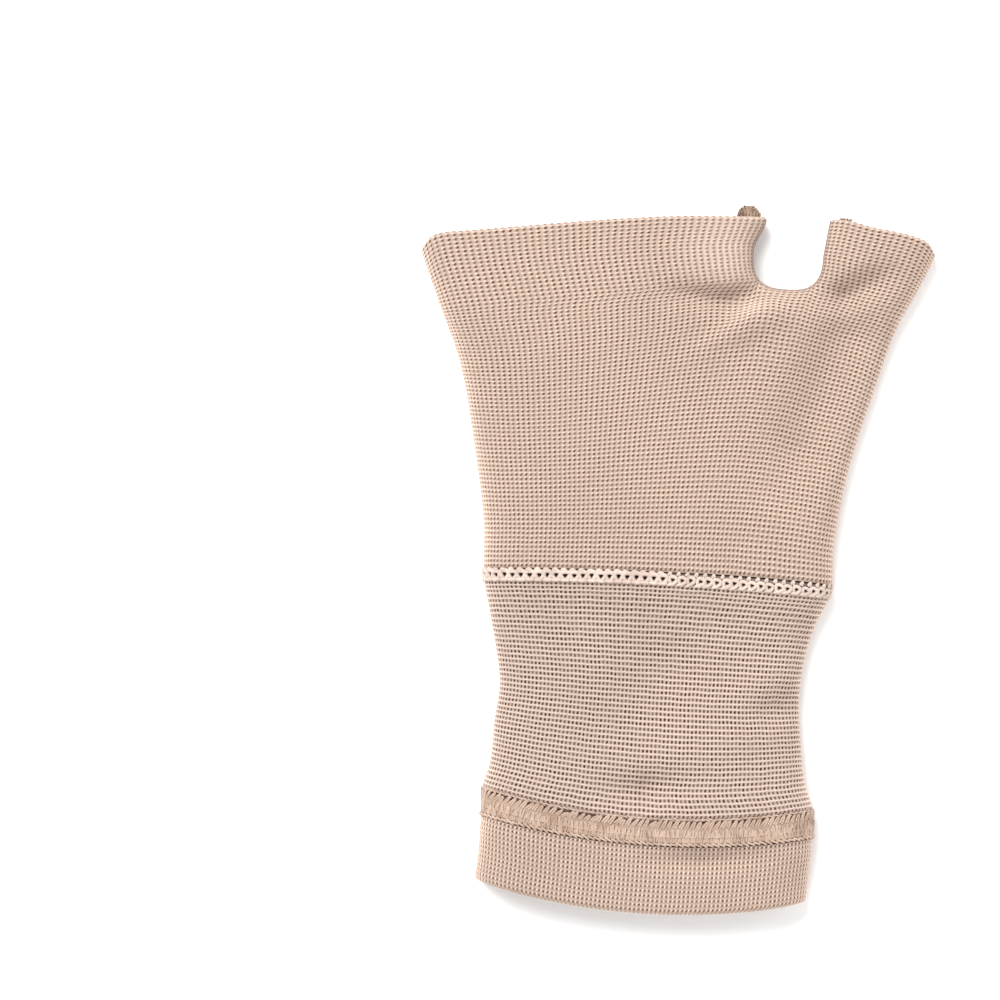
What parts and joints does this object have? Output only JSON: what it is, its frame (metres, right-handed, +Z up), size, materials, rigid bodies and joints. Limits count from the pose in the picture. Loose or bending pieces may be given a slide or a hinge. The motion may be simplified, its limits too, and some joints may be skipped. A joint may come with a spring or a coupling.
{
  "type": "wrist thumb brace",
  "caption": "Elastic knit wrist and thumb brace lying flat: flared palm sleeve with finger and thumb openings beside a U-shaped web, narrower wrist sleeve and doubled cuff.",
  "frame": {"origin": "under the middle of the outline, on the surface that the brace lies on", "axes": "+Y from the wrist opening to the fingers, +X towards the thumb opening, +Z up from the surface"},
  "size_m": [0.1028, 0.1416, 0.0107],
  "materials": {
    "palm_knit": "matte elastic knit",
    "wrist_knit": "matte elastic knit",
    "cuff_knit": "matte elastic knit",
    "chain_thread": "matte thread",
    "overlock_thread": "matte thread",
    "binding_thread": "matte thread"
  },
  "bodies": {
    "root": {"palm_sleeve": "palm_knit", "wrist_sleeve": "wrist_knit", "cuff": "cuff_knit", "joining_seam": "chain_thread", "cuff_seam": "overlock_thread", "thumb_web_seam": "binding_thread"}
  },
  "joints": []
}
